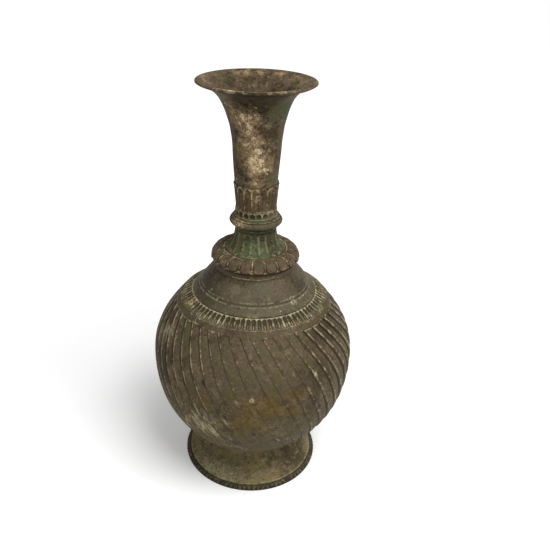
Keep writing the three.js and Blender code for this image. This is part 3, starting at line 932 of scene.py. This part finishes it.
cushionLook = {
    "node": "petal_cushion",
    "slot": "cushion_bronze",
    "bronze": "petal bronze",
    "repeats": 21,  # petals
    "columns": 26,
    "phase": -3.6,
    "seed": 11,
    "uneven": {"drop": (-3.0, 3.0), "pale": (0.35, 1.0)},
    "spacing": 0.24,
    "tube": 6.85,  # radius of the roll's section
    "sweepTo": 122,  # degrees round the tube
    "steps": 110,
    "centre": (23.8, 172.5),  # radius and height of the roll's middle
    "step": 1.2,  # how far the petals stand over the underside
    # the dark dirt colour here mostly paints the shade under the petal ends
    "finish": dict(
        dark=(63, 49, 37), middle=(83, 69, 53), light=(103, 88, 69), olive=(80, 71, 51),
        wearAndHighlight=(164, 146, 116), wearAndHighlightAmount=0.8, dirtAndShade=(32, 24, 15), weatherScale=46.0, crustAmount=0.06),
    "stains": {
        "crust": [(-4, 174.2, 3.5, 1.6, 1), (-3.5, 172.6, 4, 0.8, 0.9), (13.6, 172.6, 4, 0.9, 0.9),
            (38, 173, 10, 2.5, 0.6), (-50, 177, 14, 2, 0.5), (-45, 172, 10, 1.5, 0.5),
            (160, 174, 25, 4, 0.4)],
        "green": [(4, 177.5, 8, 1.6, 0.9), (-70, 172, 12, 4, 0.4), (70, 171, 10, 3, 0.5),
            (210, 174, 20, 4, 0.5)],
        "ochre": [(45, 175, 8, 3, 0.6)],
        "dark": [(-60, 176, 7, 2.5, 0.6), (30, 177, 4, 1.5, 0.5)],
    },
}


def petalCushion():
    look = cushionLook
    cx, cz = look["centre"]
    low = math.degrees(math.asin((ringTop - cz) / look["tube"]))
    sweep = []
    for i in range(look["steps"] + 1):
        a = low + (look["sweepTo"] - low) * i / look["steps"]
        reach = look["tube"] * (1 - 0.08 * smooth(48, 84, a))
        spot = (cx + reach * math.cos(math.radians(a)), cz + reach * math.sin(math.radians(a)))
        if spot[0] > 20.6:
            sweep.append(spot)
    outer = evened(sweep + [(20.5, cushionTop)], look["spacing"])
    inner = [(18.2, cushionTop), (23.4, 170.2), (23.4, ringTop)]
    lifts = [math.degrees(math.atan2(spot[1] - cz, spot[0] - cx)) for spot in outer]
    cuts = handCuts(look)

    def carving(angle, row, column):
        lift = lifts[row]
        petal, place = repeatAt(angle, look)
        drop, pale = cuts[petal]
        x = abs(place - 0.5) * 2
        # rounded petal ends hang over the underside; upward they share thin raised seams
        tip = -5 + drop + 28 * (1 - math.sqrt(max(0.0, 1 - min(1.0, x * 1.02) ** 2.4)))
        over = smooth(tip - 1.2, tip + 1.6, lift)
        crease = smooth(118, 108, lift)
        seam = smooth(0.84, 0.97, x) * crease * smooth(14, 30, lift)
        roundness = 0.26 * x * x
        shift = -look["step"] * (1 - over * (1 - roundness)) * smooth(low + 2, low + 12, lift)
        shift = shift * crease + 0.16 * seam - 0.25 * bump(0.78, 0.08, x) * crease * smooth(20, 34, lift)
        # painted shade: a dark line under each petal end, the groove under the roll, the underside and the
        # crease at its top are darkened through the recess value
        paintedTipShade = bump(tip + 2.6, 4.4, lift) * 1.3
        gap = smooth(tip - 2.2, tip - 4.6, lift) * smooth(-4, 0, lift) * smooth(28, 18, lift)
        channel = bump(0.78, 0.1, x) * crease * smooth(6, 14, lift) * mix(0.9, 0.35, smooth(30, 70, lift))
        paintedUnderShade = bump(-15.5, 5.5, lift)
        left = facing(-55, 40, angle)
        recess = max(paintedTipShade, paintedUnderShade, smooth(-4, -10, lift) * smooth(-44, -30, lift) * 0.4, channel,
                     bump(116, 3, lift) * 0.6) * (1 - gap)
        hem = bump(tip - 2.6 - 2 * left, 2.2 + 3.6 * left, lift) * (0.2 + 1.1 * left)
        edge = max(gap * 2.2, seam * pale, bump(110, 4, lift) * 1.1, hem)
        return shift, recess, edge

    turnedPiece(look, outer, inner, carving)


coneLook = {
    "node": "fluted_cone",
    "slot": "verdigris_bronze",
    "bronze": "verdigris bronze",
    "repeats": 18,  # ridges
    "columns": 18,
    "phase": -11.5,
    "seed": 5,
    "uneven": {"jog": (-0.05, 0.05), "pale": (0.3, 1.0)},
    "spacing": 0.36,
    "depth": 0.75,
    "finish": dict(
        dark=(56, 56, 38), middle=(76, 77, 54), light=(100, 101, 74), olive=(84, 92, 62),
        dirtAndShade=(38, 39, 24), wearAndHighlight=(122, 126, 98), wearAndHighlightAmount=0.5, film=(106, 106, 78),
        flecks=(156, 154, 122), grit=0.14, darkStainAndShade=(52, 44, 29), metallic=0.06, gloss=0.08,
        ochreStain=(92, 80, 48), weatherScale=50.0),
    "stains": {
        "crust": [(-60, 180, 14, 1.4, 0.6), (56, 180, 22, 1.4, 0.6), (-12, 186, 6, 3, 0.5),
            (28, 188, 4, 3, 0.6), (46, 188, 4, 4, 0.2), (-30, 184, 5, 3, 0.4), (0, 180, 40, 1.2, 0.3)],
        "ochre": [(-54, 186, 24, 12, 1), (42, 181, 12, 2.5, 0.45), (-78, 184, 18, 10, 0.6),
            (190, 184, 30, 5, 0.5)],
        # painted shade: the strong dark stain at 50 degrees darkens the right side, which the key light
        # lights, and the cone's dark stain colour is deepened for it
        "dark": [(-64, 188, 20, 12, 0.25), (18, 193, 10, 2, 0.5), (50, 186, 20, 12, 1.5),
            (-75, 188, 12, 8, 0.5)],
    },
}


def flutedCone():
    look = coneLook
    flare = [(20.3, cushionTop), (17.25, 182.4), (15.4, 186.2), (14.3, 190.8), (14.0, coneTop)]
    outer = evened(flowing(flare, 12), look["spacing"])
    inner = [(9.8, coneTop), (10.7, 187.3), (17.2, cushionTop)]
    lengths = pathLengths(outer)
    cuts = handCuts(look)

    def carving(angle, row, column):
        t = lengths[row] / lengths[-1]
        ridgeHere = round((angle - look["phase"]) % 360 * look["repeats"] / 360) % look["repeats"]
        jog, pale = cuts[ridgeHere]
        across = abs((repeatAt(angle, look)[1] + jog + 0.5) % 1 - 0.5) * 2
        ridge = smooth(0.52, 0.06, across)
        channel = (1 - ridge) * between(0.02, 0.12, 0.9, 0.97, t)
        depth = look["depth"] * channel * (1 - 0.4 * (1 - across) ** 2)
        depth *= mix(0.75, 1.0, smooth(0.0, 0.4, t))
        foot = bump(0.05, 0.05, t) * (0.4 + 0.6 * across)
        neckLine = bump(0.94, 0.03, t)
        recess = max(channel * 0.25, smooth(0.5, 0.3, across) * channel * 0.5, neckLine * 0.9)
        return -depth, recess, max(ridge * pale * between(0.04, 0.2, 0.8, 0.93, t), foot * 0.8)

    turnedPiece(look, outer, inner, carving)


# The neck: a knop, a lobed band, a sleeve of upright petals and the trumpet mouth

knopLook = {
    "node": "neck_knop",
    "slot": "knop_bronze",
    "bronze": "knop bronze",
    "columns": 240,
    "spacing": 0.2,
    "finish": dict(
        dark=(62, 57, 39), middle=(76, 70, 51), light=(92, 85, 63), olive=(72, 71, 50),
        ochreStain=(100, 94, 48), dirtAndShade=(34, 30, 20), weatherScale=50.0),
    "stains": {
        "crust": [(-44, 200.4, 22, 2.8, 1.1), (40, 201.8, 14, 0.8, 0.4)],
        "green": [(5, 202.8, 20, 1.2, 0.7)],
        "ochre": [(-55, 200, 14, 2.5, 0.7)],
        # painted shade: the dark stain all across at 197.2 high paints the shadow line under the roll
        "dark": [(-70, 198, 16, 2, 0.7), (75, 199, 14, 3, 0.6), (0, 197.2, 60, 0.6, 0.5)],
    },
}


def neckKnop():
    look = knopLook
    bead = flowing([(14.2, coneTop), (14.75, 195.2), (14.8, 195.7), (14.3, 196.3), (14.1, 196.7)], 6)
    roll = flowing([(14.1, 196.7), (16.2, 197.1), (17.5, 198.2), (17.95, 199.4), (17.5, 200.6),
                    (16.6, 201.5), (16.2, 201.7), (16.3, 202.2), (15.9, 202.7), (15.2, knopTop)], 6)
    outer = evened(bead + roll[1:], look["spacing"])
    inner = [(9.8, knopTop), (9.8, coneTop)]

    def carving(angle, row, column):
        radius, height = outer[row]
        # painted shade in the throat under the roll; shine paints highlight lines on the bead and the roll
        # in the pale wear colour
        throat = smooth(14.9, 14.3, radius) * between(195.9, 196.4, 196.9, 197.4, height)
        step = bump(201.75, 0.22, height)
        foot = smooth(195.0, 194.7, height)
        shine = (0.6 * bump(195.5, 0.35, height) + 0.8 * bump(202.4, 0.3, height)
                 + 0.35 * bump(200.9, 0.5, height))
        return 0, max(throat, step * 0.8, foot * 0.8), shine

    turnedPiece(look, outer, inner, carving)


lobeLook = {
    "node": "lobed_band",
    "slot": "lobe_bronze",
    "bronze": "lobed band bronze",
    "repeats": 20,  # lobes
    "columns": 18,
    "phase": -19.2,
    "spacing": 0.2,
    "depth": 0.9,
    "finish": dict(
        dark=(78, 68, 50), middle=(92, 82, 60), light=(110, 98, 74), olive=(88, 84, 62),
        greenStain=(78, 90, 64), dirtAndShade=(46, 42, 27), wearAndHighlight=(132, 124, 98), wearAndHighlightAmount=0.75,
        dirtAndShadeAmount=0.95, weatherScale=50.0),
    "stains": {
        "crust": [(16, 206.5, 6, 1.5, 0.6), (-38, 206, 8, 1.6, 0.5)],
        "green": [(3, 205.5, 24, 4, 1), (30, 207, 12, 3, 0.7), (190, 206, 40, 4, 0.6)],
        "ochre": [(60, 206, 20, 4, 0.6)],
    },
}


def lobedBand():
    look = lobeLook
    outer = evened([(14.6, knopTop), (14.6, 203.5), (14.3, 204.2), (14.25, 205.5), (14.1, 207.2),
                    (14.0, 208.0), (13.8, lobesTop)], look["spacing"])
    inner = [(12.2, lobesTop), (12.2, knopTop)]

    def carving(angle, row, column):
        t = (outer[row][1] - knopTop) / (lobesTop - knopTop)
        across = abs(repeatAt(angle, look)[1] - 0.5) * 2
        halfWidth = 0.78 * math.sqrt(max(0.0, 1 - smooth(0.45, 0.86, t) ** 2)) * smooth(0.16, 0.24, t)
        inside = smooth(halfWidth + 0.12, halfWidth - 0.12, across) * smooth(0.16, 0.26, t)
        clean = 1 - 0.55 * facing(55, 30, angle)
        pale = max((1 - inside) * smooth(0.14, 0.24, t) * 0.75, bump(0.13, 0.05, t) * 0.8)
        dirtAndShade = inside * mix(0.6, 1.0, smooth(0.35, 0.65, t)) * clean
        return -look["depth"] * inside, max(dirtAndShade, smooth(0.05, 0.0, t)), pale * smooth(1.02, 0.94, t)

    turnedPiece(look, outer, inner, carving)


sleeveLook = {
    "node": "petal_sleeve",
    "slot": "sleeve_bronze",
    "bronze": "petal sleeve bronze",
    "repeats": 17,  # petals
    "columns": 26,
    "phase": -12.2,
    "arch": 3.5,  # height of a petal's arched tip
    "top": 225.7,
    "steps": 76,
    "sunk": 0.5,  # depth of the hollow in a petal
    "finish": dict(
        dark=(58, 44, 29), middle=(77, 63, 43), light=(97, 82, 58), olive=(76, 67, 42),
        greenStain=(80, 76, 50), ochreStain=(106, 92, 54), dirtAndShade=(42, 31, 21), wearAndHighlight=(168, 149, 117),
        wearAndHighlightAmount=0.9, film=(132, 112, 84), weatherScale=50.0, crustAmount=0.1),
    "stains": {
        "crust": [(-4, 224, 18, 2.2, 0.9), (4, 219.5, 9, 2.4, 0.9), (-12, 220, 3.5, 4, 0.7),
            (-33, 222.5, 4, 2, 0.8), (30, 222.5, 5, 2, 0.6), (2, 216.5, 6, 1.6, 0.7),
            (42, 223.8, 9, 1.8, 0.7), (-30, 222.5, 12, 2, 0.5), (-11, 214, 2.5, 3, 0.6),
            (-32, 212, 2.5, 2, 0.5), (170, 216, 30, 8, 0.4)],
        "green": [(45, 213, 26, 7, 0.5), (24, 211, 12, 5, 0.4), (230, 214, 25, 8, 0.5)],
        "ochre": [(0, 220, 12, 3, 0.6), (45, 216, 16, 5, 0.5)],
        # painted shade: the dark stain at 52 degrees darkens the right side, which the key light lights
        "dark": [(-25, 214, 8, 6, 0.6), (6, 213, 6, 4, 0.5), (52, 216, 26, 9, 0.5)],
    },
}


def petalSleeve():
    look = sleeveLook
    steps = look["steps"]
    outer = [(mix(13.7, 15.2, i / steps), mix(lobesTop, look["top"], i / steps)) for i in range(steps + 1)]
    inner = [(14.45, look["top"]), (12.2, lobesTop)]

    def carving(angle, row, column):
        height = outer[row][1]
        place = repeatAt(angle, look)[1]
        tip = look["top"] - look["arch"] * (1 - math.sin(math.pi * place) ** 0.7)
        across = abs(place - 0.5) * 2
        valley = smooth(0.72, 0.92, across) * bump(look["top"] - look["arch"] - 0.9, 2.0, height)
        rim = max(bump(tip - 0.45, 0.6, height), valley,
                  smooth(0.84, 0.95, across) * smooth(tip, tip - 1.0, height) * 0.55)
        inside = smooth(tip - 0.8, tip - 1.6, height) * smooth(0.9, 0.74, across)
        inside *= smooth(209.2, 210.0, height)
        rib = smooth(0.3, 0.1, across) * inside
        above = smooth(tip, tip + 0.3, height)
        shift = -look["sunk"] * inside * (1 - 0.6 * rib) - 0.6 * above
        clean = 1 - 0.6 * facing(45, 40, angle)
        dirtAndShade = inside * (0.15 + 0.4 * smooth(0.4, 0.8, across)) * (1 - 0.5 * rib)
        corner = inside * bump(tip - 3.0, 2.2, height) * 0.55
        rubbed = max(rim * (0.5 + 0.5 * clean), bump(208.9, 0.4, height) * 0.7)
        return shift, max(dirtAndShade, corner) * clean, rubbed

    turnedPiece(look, outer, inner, carving)


neckLook = {
    "node": "neck_and_mouth",
    "slot": "neck_bronze",
    "bronze": "neck bronze",
    "columns": 240,
    "spacing": 0.6,
    "insideSpacing": 1.0,
    "wavy": (226, 289),  # heights between which the old tube is a little uneven
    "finish": dict(
        dark=(60, 47, 34), middle=(86, 72, 55), light=(106, 93, 73), olive=(82, 76, 58),
        greenStain=(72, 80, 42), ochreStain=(112, 96, 54), darkStainAndShade=(24, 17, 7), film=(158, 135, 101),
        flecks=(222, 198, 158), wearAndHighlight=(136, 124, 112), wearAndHighlightAmount=0.8, chips=0.02, weatherScale=44.0,
        crustAmount=0.03, pits=0.18, metallic=0.03, gloss=0.05),
    "stains": {
        "crust": [(-24, 289.9, 14, 0.8, 0.35), (18, 289.9, 9, 0.8, 0.3), (-30, 257, 18, 8, 0.35),
            (-4, 246, 34, 20, 0.62), (-14, 270, 26, 6, 0.75), (4, 230, 30, 6, 0.2),
            (-24, 273, 5, 2.2, 0.6), (-14, 272.5, 9, 1.6, 0.6), (3, 272.6, 5, 2, 0.7),
            (-13, 265, 6, 2, 0.8), (-32, 264, 5, 1.2, 0.6), (-17, 261.5, 11, 2, 0.5),
            (-8, 258.5, 8, 1.5, 0.5), (-26, 254, 13, 1.3, 0.6), (-4, 255, 8, 1.6, 0.5),
            (15, 256, 6, 1, 0.5), (6, 251, 11, 1.8, 0.8), (34, 252, 10, 2, 0.45),
            (-8, 244.5, 10, 2.2, 0.9), (8, 244, 14, 2.4, 0.7), (0, 240, 18, 2.4, 0.6),
            (22, 238, 12, 1.6, 0.8), (-8, 236, 10, 1.6, 0.5), (2, 228, 14, 2.4, 0.35),
            (-44, 276, 12, 4, 0.4), (-42, 268, 14, 5, 0.35), (-28, 242, 6, 1.2, 0.5),
            (150, 250, 30, 14, 0.6), (220, 262, 20, 8, 0.5)],
        "green": [(25, 281, 15, 7, 1.2), (22, 277, 6, 3, 0.8), (42, 276, 16, 4, 0.9),
            (66, 271, 12, 4, 0.9), (-50, 283, 14, 4, 0.5), (180, 275, 40, 9, 0.6), (-56, 252, 9, 4, 0.5),
            (56, 251, 8, 4, 0.4)],
        "ochre": [(-42, 253, 18, 18, 0.6), (42, 245, 8, 3.5, 0.6), (22, 233, 10, 3, 0.5),
            (-20, 280, 12, 3, 0.3)],
        # painted shade: the dark stains from 281 to 286 high, above all the strong one at -3 degrees,
        # paint the shade under the lip, and the neck's dark stain colour is deepened for it
        "dark": [(2, 229, 16, 3, 0.3), (-3, 285, 23, 8, 2.6), (14, 281, 10, 4, 0.8),
            (-8, 277.5, 8, 2.5, 0.5), (30, 286, 14, 3, 0.6), (-30, 247.5, 14, 2.6, 0.9),
            (-44, 261, 8, 2.5, 0.8), (-14, 248, 5, 1.4, 0.7), (-50, 238, 14, 6, 0.4),
            (-32, 232, 12, 2.8, 1.3), (40, 262, 14, 7, 0.5), (12, 261, 12, 3, 0.35), (66, 244, 12, 8, 0.6),
            (-70, 262, 14, 16, 0.6), (-75, 238, 14, 10, 0.6), (190, 236, 30, 8, 0.5)],
    },
    "insideStains": {
        "crust": [(-165, 289.3, 12, 1.2, 0.6), (175, 288.8, 9, 1.2, 0.5), (150, 288.3, 8, 1.6, 0.5),
            (130, 288.6, 6, 1.2, 0.4), (172, 284, 9, 2.5, 0.25), (-170, 281, 5, 2, 0.35),
            (-95, 289.3, 22, 1.6, 0.2), (95, 289.3, 18, 1.6, 0.2), (-26, 290.1, 12, 1, 1.1),
            (18, 290.1, 9, 1, 0.8), (-6, 290.1, 8, 1, 0.5)],
        "green": [(-135, 287, 30, 4, 0.2), (180, 285, 70, 6, 0.25)],
        "ochre": [(40, 290.6, 14, 0.8, 0.4)],
        # painted shade: the dark stain all round at 262 high darkens the deep inside of the throat
        "dark": [(-60, 288, 50, 2, 0.2), (0, 262, 360, 16, 1), (180, 285, 90, 5, 0.5),
            (60, 290.6, 12, 0.8, 0.4)],
    },
}


def neckAndMouth():
    look = neckLook
    tail = [(11.9, knopTop), (11.9, lobesTop)]
    shaft = flowing([(14.2, 224.5), (14.4, 228.0), (14.9, 235.0), (15.5, 244.0), (16.0, 253.1),
                     (16.7, 258.4), (17.5, 263.3), (18.9, 268.3), (20.5, 273.3), (22.7, 278.2),
                     (24.7, 281.4), (28.3, 284.9), (32.6, 287.5), (36.3, 288.45), (37.35, 288.9),
                     (37.75, 289.6), (37.5, 290.3), (36.7, 290.6), (35.6, 290.5)], 8)
    throat = flowing([(35.6, 290.5), (34.0, 289.7), (31.0, 288.5), (27.5, 287.0), (24.5, 285.0),
                      (21.8, 281.9), (19.4, 277.5), (17.4, 272.0), (15.8, 266.0), (14.6, 259.0),
                      (13.4, 247.0), (12.5, 235.0), (11.6, 222.0), (10.3, 209.0), (9.9, 205.0)], 6)
    outside = tail + evened(shaft, look["spacing"])
    outer = outside + evened(throat, look["insideSpacing"])[1:]
    inner = [(9.8, knopTop)]
    lipRow = max(range(len(outer)), key=lambda row: outer[row][1])
    low, high = look["wavy"]

    def carving(angle, row, column):
        height = outer[row][1]
        waves = 0.16 * math.sin(math.radians(angle * 3 + 40)) * math.sin(height * 0.11 + 1.3)
        waves += 0.1 * math.sin(math.radians(angle * 5 - height * 4.1))
        onShaft = row < lipRow and low < height < high
        outerLip = row <= lipRow
        # painted shade under the outer lip through the recess value; the lip's rounded top is painted
        # pale, partly rubbed metal and partly a painted highlight, stronger at the front
        under = between(284, 288.3, 288.6, 288.9, height) * outerLip
        rubAndHighlight = smooth(288.8, 289.2, height) * outerLip * mix(0.4, 1, facing(-5, 60, angle))
        return (waves if onShaft else 0), under * 0.85, rubAndHighlight * 0.42

    turnedPiece(look, outer, inner, carving, insideFrom=lipRow)


print("bottle: building pieces")
for build in (footRim, footSkirt, flutedBody, tongueBand, shoulderDome, collarRing, petalCushion,
              flutedCone, neckKnop, lobedBand, petalSleeve, neckAndMouth):
    build()


# Floor, light and camera

studio = {
    "floorSize": 24,
    "floorColor": 0.9,
    "nearGlow": 0.14,
    "farGlow": 0.6,
    "farFrom": (0.2, 0.6),
    "worldLevel": 0.44,
    "softboxes": {
        "key softbox": {"at": (0.32, -0.36, 1.0), "towards": (0, 0, 0.1), "size": 0.6, "watts": 11.6},
        "fill softbox": {"at": (-0.6, -0.7, 0.5), "towards": (0, 0, 0.12), "size": 0.8, "watts": 0.3},
    },
    "lens": 41.46,
    "shift": 0.0375,
    "cameraAt": (0, -0.39498, 0.36639),
    "pitch": 61.966,
    "roll": 1.424,
}


def studioFloor():
    bpy.ops.mesh.primitive_plane_add(size=studio["floorSize"])
    floor = bpy.context.object
    floor.name = "studio_floor"
    material = bpy.data.materials.new("white floor")
    tree = emptyTree(material)
    level = studio["floorColor"]
    matte = node(tree, "ShaderNodeBsdfDiffuse", Color=(level, level, level, 1)).outputs[0]
    seen = node(tree, "ShaderNodeLightPath").outputs
    direct = maths("MAXIMUM", seen["Is Camera Ray"], seen["Is Glossy Ray"])
    place = node(tree, "ShaderNodeTexCoord").outputs["Object"]
    away = joined("ShaderNodeVectorMath", {"operation": "LENGTH"}, {0: place}, "Value")
    strength = times(direct, ramp(away, *studio["farFrom"], studio["nearGlow"], studio["farGlow"]))
    glow = node(tree, "ShaderNodeEmission", Color=(1, 1, 1, 1), Strength=strength).outputs[0]
    node(tree, "ShaderNodeOutputMaterial", Surface=joined("ShaderNodeAddShader", {}, {0: matte, 1: glow}))
    floor.data.materials.append(material)


def studioWorld():
    world = bpy.data.worlds.new("white room")
    bpy.context.scene.world = world
    tree = emptyTree(world)
    seen = node(tree, "ShaderNodeLightPath").outputs["Is Camera Ray"]
    level = ramp(seen, 0.0, 1.0, studio["worldLevel"], 1.0)
    background = node(tree, "ShaderNodeBackground", Color=(1, 1, 1, 1), Strength=level)
    node(tree, "ShaderNodeOutputWorld", Surface=background.outputs[0])


def softbox(name, settings):
    light = bpy.data.lights.new(name, "AREA")
    light.shape = "RECTANGLE"
    light.size = light.size_y = settings["size"]
    light.energy = settings["watts"]
    lamp = bpy.data.objects.new(name, light)
    lamp.location = settings["at"]
    aim = Vector(settings["towards"]) - Vector(settings["at"])
    lamp.rotation_euler = aim.to_track_quat("-Z", "Y").to_euler()
    bpy.context.scene.collection.objects.link(lamp)


def photoCamera():
    data = bpy.data.cameras.new("photo camera")
    data.sensor_fit = "HORIZONTAL"
    data.sensor_width = 36
    data.lens = studio["lens"]
    data.shift_x = studio["shift"]
    data.dof.use_dof = False
    data.clip_start = 0.01
    camera = bpy.data.objects.new("photo camera", data)
    camera.matrix_world = (Matrix.Translation(studio["cameraAt"])
                           @ Matrix.Rotation(math.radians(studio["pitch"]), 4, "X")
                           @ Matrix.Rotation(math.radians(studio["roll"]), 4, "Z"))
    bpy.context.scene.collection.objects.link(camera)
    bpy.context.scene.camera = camera


studioFloor()
studioWorld()
for name, settings in studio["softboxes"].items():
    softbox(name, settings)
photoCamera()
bpy.context.scene.view_settings.view_transform = "Standard"
print("bottle: studio ready")
